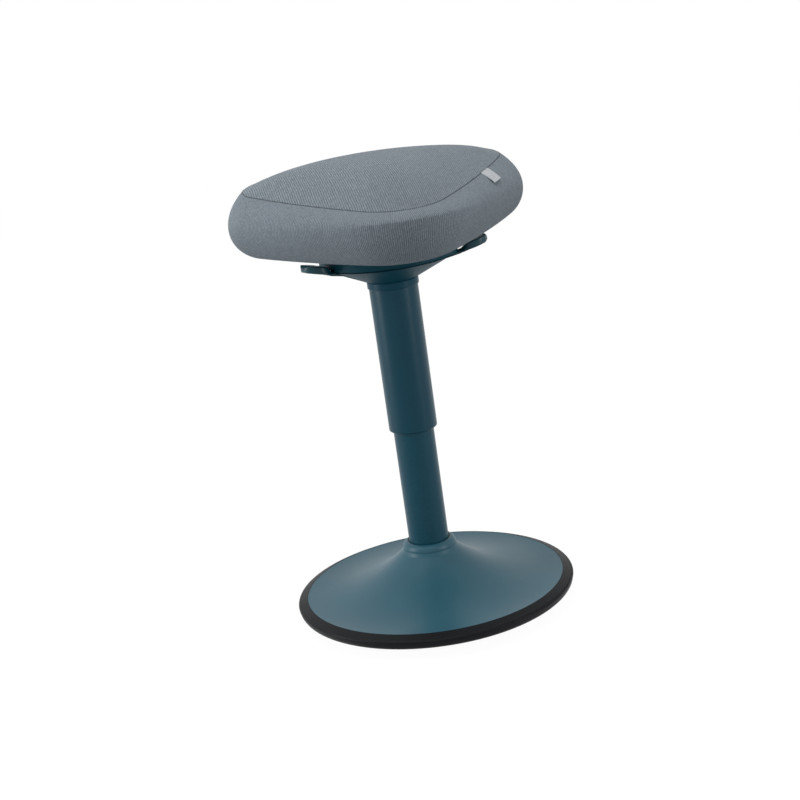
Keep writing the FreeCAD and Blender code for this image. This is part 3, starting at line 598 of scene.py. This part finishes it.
# %% Cushion section
hem_drop = 1.6 * MM     # the hem lies this far below the board's underside
hem_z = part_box("seat_board")[0].z - hem_drop
hem_insets = (0.040, 0.020, 0.006, 0.0)     # rows under the board, inward from the hem
side_low, side_low_in, flat_band = 0.0395, 0.0350, 0.008
side_high, side_high_in = 0.0355, 0.0237
seam_angle = math.radians(50.0)
crown_h, crown_power = 0.0237, 2.9
low_tilt, wide_tilt, seam_tilt, crown_tilt = (math.radians(a) for a in (2.6, -2.0, 7.8, 0.0))
skin = 0.0004           # the cover lies this far inside the measured form
seam_depth = 0.0011     # how far the two panels dip at the seam
seam_half = 0.0006      # half the seam's width
wide_z = hem_z + side_low
seam_z = wide_z + side_high


def upper_side_row(share):
    """A row of the side panel, from its widest place at 0 up to the seam at 1."""
    a = seam_angle * share
    inset = side_high_in * (1 - math.cos(a)) / (1 - math.cos(seam_angle))
    height = wide_z + side_high * math.sin(a) / math.sin(seam_angle)
    return inset, 1.0, height, wide_tilt + (seam_tilt - wide_tilt) * share, a


def section_rows():
    """Rows of the cushion as (inset, shrink, height, tilt, outward angle)."""
    rows = [(side_low_in + flat_band + e, 1.0, hem_z, 0.0, -math.pi / 2) for e in hem_insets]
    for a in np.radians(np.linspace(90, 6, 15)):
        tilt = low_tilt + (wide_tilt - low_tilt) * (1 - math.sin(a))
        rows.append((side_low_in * (1 - math.cos(a)), 1.0, wide_z - side_low * math.sin(a), tilt, -a))
    for share in np.linspace(0, 1, 16):
        rows.append(upper_side_row(share))
    seam_row = len(rows) - 1
    for share in (0.985, 0.96, 0.93, 0.89, 0.84, 0.78, *(0.71 - 0.08 * k for k in range(9))):
        tilt = crown_tilt + (seam_tilt - crown_tilt) * share
        a = math.pi / 2 - (math.pi / 2 - seam_angle) * share ** (crown_power - 1)
        rows.append((side_high_in, share, seam_z + crown_h * (1 - share ** crown_power), tilt, a))
    return rows, seam_row


def row_points(row, inward=0.0):
    inset, shrink, height, tilt, outward = row
    x, y = ring_xy(inset + inward * math.cos(outward), shrink)
    return np.stack([x, y, height - inward * math.sin(outward) + y * math.tan(tilt)], axis=1)


rows, seam_row = section_rows()
rings = [row_points(r, skin) for r in rows]
print(len(rings), "rows of", len(outline), "points")


# %% Sew the groove
side_steps = (3.0, 1.7, 1.0, 0.45)      # rings beside the seam, in half widths of it
top_steps = (0.35, 0.9, 1.7, 3.0)
groove_sharp = 1.15     # how quickly the groove closes
puff_height = 0.00022   # the cloth swells a little beside the stitches
puff_at = 2.0           # this place and width are in half widths of the seam too
puff_width = 0.9
probe = 0.001           # a short step in or out, to find that direction


def groove_rings():
    """Extra rings beside the seam, so that the two panels dip into it."""
    seam = rings[seam_row]
    below = rings[seam_row - 1]
    above = rings[seam_row + 1]
    to_side = below - seam
    to_side /= np.linalg.norm(to_side, axis=1)[:, None]
    to_top = above - seam
    to_top /= np.linalg.norm(to_top, axis=1)[:, None]
    inward = row_points(rows[seam_row], skin + probe) - seam
    inward /= np.linalg.norm(inward, axis=1)[:, None]
    made = []
    for side, steps in ((to_side, side_steps), (None, (0,)), (to_top, top_steps)):
        for step in steps:
            depth = seam_depth * math.exp(-(step * groove_sharp) ** 2)
            puff = puff_height * math.exp(-((step - puff_at) / puff_width) ** 2)
            move = 0 if side is None else side * (step * seam_half)
            made.append(seam + move + inward * (depth - puff))
    return made


groove = groove_rings()
rings = rings[:seam_row] + groove + rings[seam_row + 1:]
groove_middle = seam_row + len(side_steps)


# %% Cushion mesh with flat cloth coordinates
last_step = 0.0039      # the flat cloth's last step, where the round closes


def closed_loft(name, rings, top_from):
    """Quads between rings, a fan at each end, and a flat map for the cloth:
    round and down for the side rows, seen from above for the top rows."""
    count = len(rings[0])
    points = np.concatenate(rings + [rings[0].mean(0)[None], rings[-1].mean(0)[None]])
    low, high = len(points) - 2, len(points) - 1
    faces, sides = [], []
    for r in range(len(rings) - 1):
        for i in range(count):
            j = (i + 1) % count
            faces.append((r * count + i, r * count + j, (r + 1) * count + j, (r + 1) * count + i))
            sides.append(r < top_from)
    last = (len(rings) - 1) * count
    for i in range(count):
        j = (i + 1) % count
        faces.append((j, i, low))
        sides.append(True)
        faces.append((last + i, last + j, high))
        sides.append(False)
    mesh = bpy.data.meshes.new(name)
    mesh.from_pydata([tuple(p) for p in points], [], faces)
    down = np.zeros((len(rings), count))
    for r in range(1, len(rings)):
        down[r] = down[r - 1] + np.linalg.norm(rings[r] - rings[r - 1], axis=1)
    flat = mesh.uv_layers.new(name="cloth")
    for face, on_side in zip(mesh.polygons, sides):
        wraps = on_side and len(face.vertices) == 4 and face.vertices[1] % count == 0
        for corner, vertex in zip(face.loop_indices, face.vertices):
            if not on_side or vertex >= low:
                flat.data[corner].uv = (points[vertex][0], points[vertex][1])
                continue
            r, i = divmod(vertex, count)
            u = around[-1] + last_step if wraps and i == 0 else around[i]
            flat.data[corner].uv = (u, down[r][i])
    mesh.shade_smooth()
    piece = bpy.data.objects.new(name, mesh)
    scene.collection.objects.link(piece)
    return piece


cushion = closed_loft("seat_cushion", rings, groove_middle)
cushion.data.materials.append(cover_cloth)
print("cushion has", len(cushion.data.polygons), "faces")

# %% [markdown]
# ## Let the cover settle
# A sewn cover is cut a little smaller than its foam, so it bulges between the
# seam and the hem and is held back at both. That could be drawn by hand, but a
# short run of cloth under gentle pressure finds the bulge by itself. The seam
# and the hem are pinned, and no point may move further than a small cap.

# %% Cloth under pressure, with the seam and the hem held
settle_cap = 0.0016
pressure = 4.0
run_frames = 20
smoothing_passes = 6
seam_reach = 0.014      # the swell comes in over this way from the seam
hem_clear = 0.012       # nothing swells this close above the hem
hem_reach = 0.025       # and from there it comes in over this height


def settle(piece, held_rings, seam_ring, cap):
    """Blows the closed form up as cloth and keeps a smoothed, capped move."""
    count = len(outline)
    work = piece.copy()
    work.data = piece.data.copy()
    scene.collection.objects.link(work)
    held = work.vertex_groups.new(name="held")
    for ring in held_rings:
        held.add(list(range(ring * count, (ring + 1) * count)), 1.0, "REPLACE")
    cloth = work.modifiers.new("cover", "CLOTH")
    cloth.settings.quality = 4
    cloth.settings.use_pressure = True
    cloth.settings.uniform_pressure_force = pressure
    cloth.settings.vertex_group_mass = "held"
    cloth.settings.effector_weights.gravity = 0.0
    cloth.collision_settings.use_collision = False
    cloth.point_cache.frame_start = 1
    cloth.point_cache.frame_end = run_frames
    for step in range(1, run_frames + 1):
        scene.frame_set(step)
    blown = work.evaluated_get(bpy.context.evaluated_depsgraph_get()).to_mesh()
    after = np.empty(len(blown.vertices) * 3)
    blown.vertices.foreach_get("co", after)
    before = np.empty_like(after)
    piece.data.vertices.foreach_get("co", before)
    before, after = before.reshape(-1, 3), after.reshape(-1, 3)
    bpy.data.objects.remove(work, do_unlink=True)
    scene.frame_set(1)
    grid = (after - before)[:-2].reshape(-1, count, 3)
    for _ in range(smoothing_passes):
        grid = (np.roll(grid, 1, 1) + 2 * grid + np.roll(grid, -1, 1)) / 4
        inner = (grid[:-2] + 2 * grid[1:-1] + grid[2:]) / 4
        grid = np.concatenate([grid[:1], inner, grid[-1:]])
        grid[held_rings] = 0
    layers = before[:-2].reshape(-1, count, 3)
    off_seam = np.linalg.norm(layers - layers[seam_ring], axis=2, keepdims=True)
    grid *= 1 - np.exp(-(off_seam / seam_reach) ** 2)
    grid *= np.clip((layers[:, :, 2:] - hem_z - hem_clear) / hem_reach, 0, 1)
    size = np.linalg.norm(grid, axis=2, keepdims=True)
    grid *= cap * np.tanh(size / cap) / np.maximum(size, 1e-9)
    moved = before.copy()
    moved[:-2] += grid.reshape(-1, 3)
    moved[-2:] += grid[[0, -1]].mean(1)
    piece.data.vertices.foreach_set("co", moved.ravel())
    piece.data.update()
    print("cover moved up to %.2f mm" % (np.linalg.norm(moved - before, axis=1).max() / MM))


hem_rings = list(range(len(hem_insets)))
seam_rings = [groove_middle - 1, groove_middle, groove_middle + 1]
settle(cushion, hem_rings + seam_rings, groove_middle, settle_cap)

# %% Settle the cushion into the stool
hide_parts("seat_foam", "side_panel", "top_panel")
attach(cushion, "seat")


# %% [markdown]
# ## Seam thread and tag
# One line of thread closes the seam, and a small woven tag is caught in
# it on the right side. The thread is darker than the cover: partly its own
# colour, partly painted shade that stands in for the shade in the groove.
# The thread could be a painted line, but a thin cord lying in the groove
# stays a line from every side. The tag is a folded strip: it follows the
# side panel down from the seam and stands away from it a little further
# the lower it goes. It is left bare.


# %% Helpers for the seam's pieces
def mesh_piece(name, points, faces, material, body):
    mesh = bpy.data.meshes.new(name)
    mesh.from_pydata([tuple(p) for p in points], [], faces)
    mesh.shade_smooth()
    mesh.materials.append(material)
    piece = bpy.data.objects.new(name, mesh)
    scene.collection.objects.link(piece)
    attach(piece, body)
    return piece


def flat_map(piece, across, down):
    """Gives the cloth its flat coordinates from two lists, one per vertex."""
    flat = piece.data.uv_layers.new(name="cloth")
    for loop in piece.data.loops:
        flat.data[loop.index].uv = (across[loop.vertex_index], down[loop.vertex_index])


# %% Thread in the groove
thread_radius = 0.00045
thread_depth = 0.0007


def thread_tube(name, line, radius, sides=8):
    """A closed tube along a closed line of points."""
    ahead = np.roll(line, -1, 0) - np.roll(line, 1, 0)
    ahead /= np.linalg.norm(ahead, axis=1)[:, None]
    flat_side = np.cross(ahead, np.array([0.0, 0.0, 1.0]))
    flat_side /= np.linalg.norm(flat_side, axis=1)[:, None]
    lift = np.cross(flat_side, ahead)
    points = []
    for k in range(sides):
        a = 2 * math.pi * k / sides
        points.append(line + radius * (math.cos(a) * flat_side + math.sin(a) * lift))
    points = np.stack(points, axis=1).reshape(-1, 3)
    faces = []
    for i in range(len(line)):
        j = (i + 1) % len(line)
        for k in range(sides):
            m = (k + 1) % sides
            faces.append((i * sides + k, j * sides + k, j * sides + m, i * sides + m))
    piece = mesh_piece(name, points, faces, thread_and_groove_shade, "seat")
    walk = np.repeat(around, sides)
    flat_map(piece, walk, np.tile(np.arange(sides) * radius, len(line)))
    return piece


seam_line = row_points(rows[seam_row], skin + thread_depth)
seam_thread_and_shade = thread_tube("seam_thread_and_shade", seam_line, thread_radius)
print("thread is %.0f mm long" % (around[-1] / MM))

# %% Woven tag
tag_width = 0.022
tag_length = 0.0205
tag_askew = 0.0090      # the tag is caught a little askew, towards the nose
tag_thick = 0.0011
tag_columns = 12
tag_rows = 12
tag_lift = 0.0002       # at the seam
tag_flare = 0.0022      # and this much more at the free end
flare_power = 1.6
tag_bow = 0.0003        # the middle stands fuller than the sides
beside = 5              # outline points traced on each side of the tag's middle
trace_steps = 50


def side_slope(column):
    """Points and outward directions down the side panel from the seam."""
    points, outs = [], []
    for share in np.linspace(1, 0, trace_steps):
        row = upper_side_row(share)
        here = row_points(row, skin)
        beyond = row_points(row, skin - probe)
        points.append(here[column])
        outs.append((beyond - here)[column] / probe)
    return np.array(points), np.array(outs)


tag_low, tag_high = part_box("seam_tag")
tag_middle = (tag_low + tag_high) / 2
seam_at = np.array(rings[groove_middle])
nearest = int(np.argmin(np.hypot(seam_at[:, 0] - tag_middle.x, seam_at[:, 1] - tag_middle.y)))
columns = [nearest + k for k in range(-beside, beside + 1)]
slopes = [side_slope(c) for c in columns]
starts = np.array([slope[0][0] for slope in slopes])
gone = np.concatenate([[0], np.cumsum(np.linalg.norm(np.diff(starts, axis=0), axis=1))])
gone -= gone[beside]
tag_points = []
for w in np.linspace(-tag_width / 2, tag_width / 2, tag_columns):
    for d in np.linspace(0, tag_length, tag_rows):
        side = w - tag_askew * d / tag_length
        k = int(np.clip(np.searchsorted(gone, side) - 1, 0, len(gone) - 2))
        share = (side - gone[k]) / (gone[k + 1] - gone[k])
        line = slopes[k][0] * (1 - share) + slopes[k + 1][0] * share
        outs = slopes[k][1] * (1 - share) + slopes[k + 1][1] * share
        walked = np.concatenate([[0], np.cumsum(np.linalg.norm(np.diff(line, axis=0), axis=1))])
        here = np.array([np.interp(d, walked, line[:, axis]) for axis in range(3)])
        away = np.array([np.interp(d, walked, outs[:, axis]) for axis in range(3)])
        rise = tag_lift + tag_flare * (d / tag_length) ** flare_power
        rise += tag_bow * math.sin(math.pi * (w / tag_width + 0.5)) * d / tag_length
        tag_points.append(here + away * rise)
tag_faces = [(c * tag_rows + r, c * tag_rows + r + 1, (c + 1) * tag_rows + r + 1, (c + 1) * tag_rows + r)
             for c in range(tag_columns - 1) for r in range(tag_rows - 1)]
tag_piece = mesh_piece("woven_tag", tag_points, tag_faces, tag_cloth, "seat")
flat_map(tag_piece, np.repeat(np.linspace(0, tag_width, tag_columns), tag_rows),
         np.tile(np.linspace(0, tag_length, tag_rows), tag_columns))
thicken = tag_piece.modifiers.new("folded", "SOLIDIFY")
thicken.thickness = tag_thick
thicken.offset = 0.0
soften = tag_piece.modifiers.new("soft_edge", "BEVEL")
soften.width = 0.0003
soften.segments = 2
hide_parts("seam_tag")
print("tag %.0f x %.1f mm" % (tag_width / MM, tag_length / MM))

# %% [markdown]
# ## Paddles with rounded edges
# The two release paddles are moulded plastic, and no edge on them is sharp.
# Their measured form is right but its edges are crisp. Bevels on such a mesh
# of thin triangles break up, so the form is recast in small even cells, and
# these are relaxed until each edge is round.


# %% Rounded copies of the paddles
cell = 0.0010
relax_passes = 5


def rounded_copy(node_name, name):
    source = frame["nodes"][node_name]
    mesh = source.data.copy()
    mesh.name = name
    piece = bpy.data.objects.new(name, mesh)
    scene.collection.objects.link(piece)
    recast = piece.modifiers.new("recast", "REMESH")
    recast.mode = "VOXEL"
    recast.voxel_size = cell
    relax = piece.modifiers.new("relax", "SMOOTH")
    relax.factor = 0.5
    relax.iterations = relax_passes
    solid = piece.evaluated_get(bpy.context.evaluated_depsgraph_get())
    piece.data = bpy.data.meshes.new_from_object(solid)
    piece.modifiers.clear()
    piece.data.shade_smooth()
    piece.data.materials.clear()
    piece.data.materials.append(finishes["lever_plastic"])
    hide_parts(node_name)
    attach(piece, node_name)
    print(name, "has", len(piece.data.polygons), "faces")


for hand in ("right", "left"):
    rounded_copy(hand + "_lever", hand + "_paddle")
